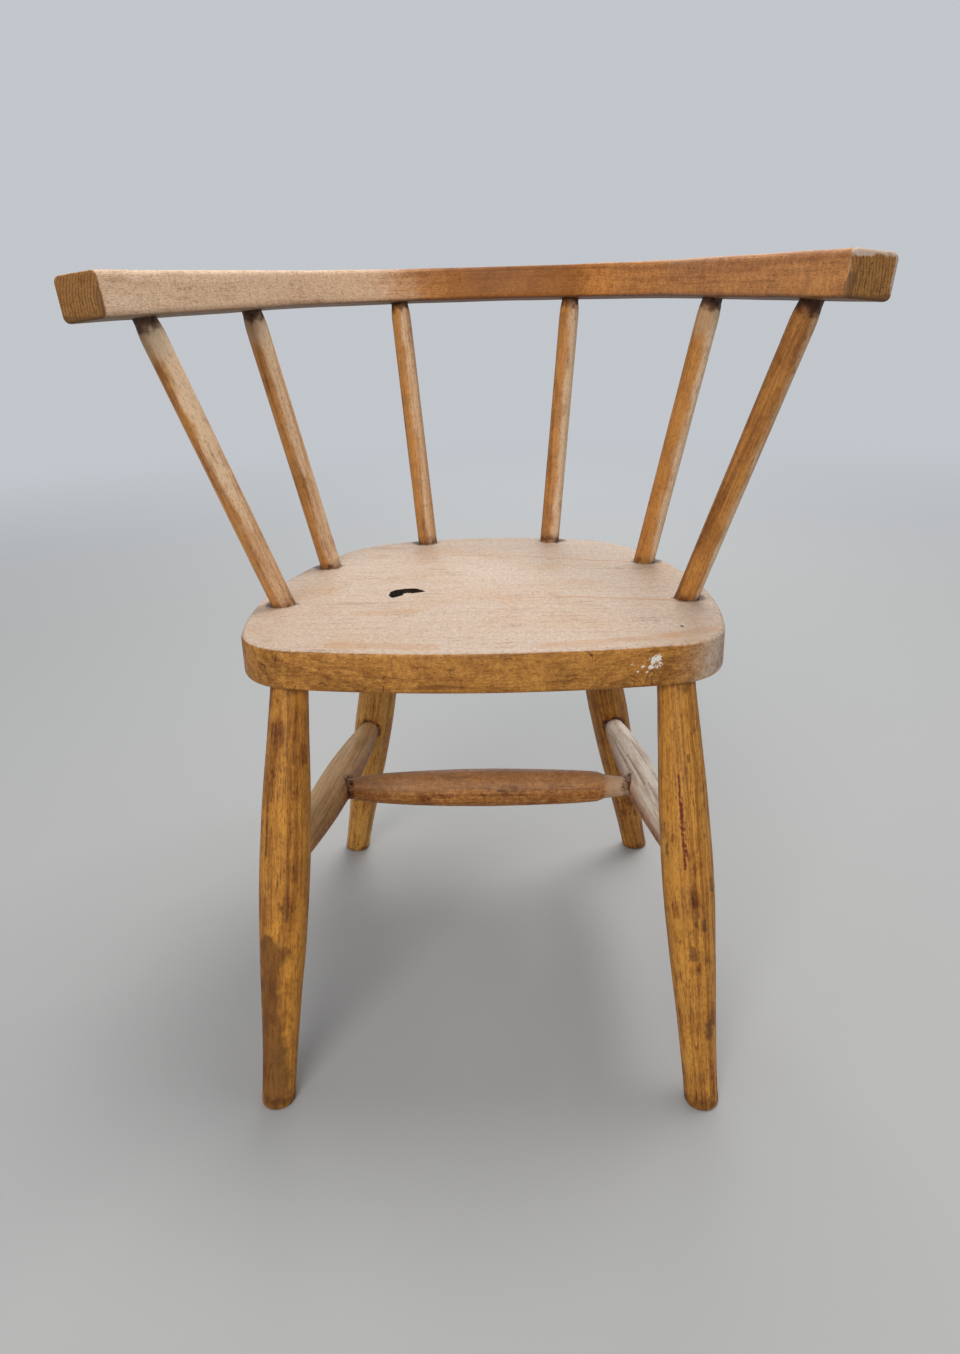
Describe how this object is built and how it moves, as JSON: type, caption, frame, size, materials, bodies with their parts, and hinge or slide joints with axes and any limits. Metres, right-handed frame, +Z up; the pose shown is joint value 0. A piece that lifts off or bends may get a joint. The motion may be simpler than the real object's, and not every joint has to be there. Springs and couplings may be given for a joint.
{
  "type": "spindle-back child's chair",
  "caption": "Child's wooden chair with a rounded board seat, turned splayed legs, an H stretcher and a spindle back under a U-shaped rail.",
  "frame": {"origin": "on the floor, below the middle of the chair's bounding box", "axes": "+Z up; -Y the way the sitter faces; +X to the sitter's left"},
  "size_m": [0.461, 0.4284, 0.5229],
  "materials": {
    "seat_wood": "sanded bare beech, a little old varnish left on the edge",
    "rail_wood": "partly sanded beech, traces of old varnish",
    "leg_wood": "worn beech with old varnish and dark streaks",
    "stretcher_wood": "worn beech, greyed and grimy on top",
    "spindle_wood": "partly sanded beech dowel"
  },
  "bodies": {
    "root": {"seat": "seat_wood", "back_rail": "rail_wood", "leg_front_left": "leg_wood", "leg_front_right": "leg_wood", "leg_rear_left": "leg_wood", "leg_rear_right": "leg_wood", "side_stretcher_left": "stretcher_wood", "side_stretcher_right": "stretcher_wood", "cross_stretcher": "stretcher_wood", "spindle_left_outer": "spindle_wood", "spindle_left_middle": "spindle_wood", "spindle_left_inner": "spindle_wood", "spindle_right_inner": "spindle_wood", "spindle_right_middle": "spindle_wood", "spindle_right_outer": "spindle_wood"}
  },
  "joints": []
}
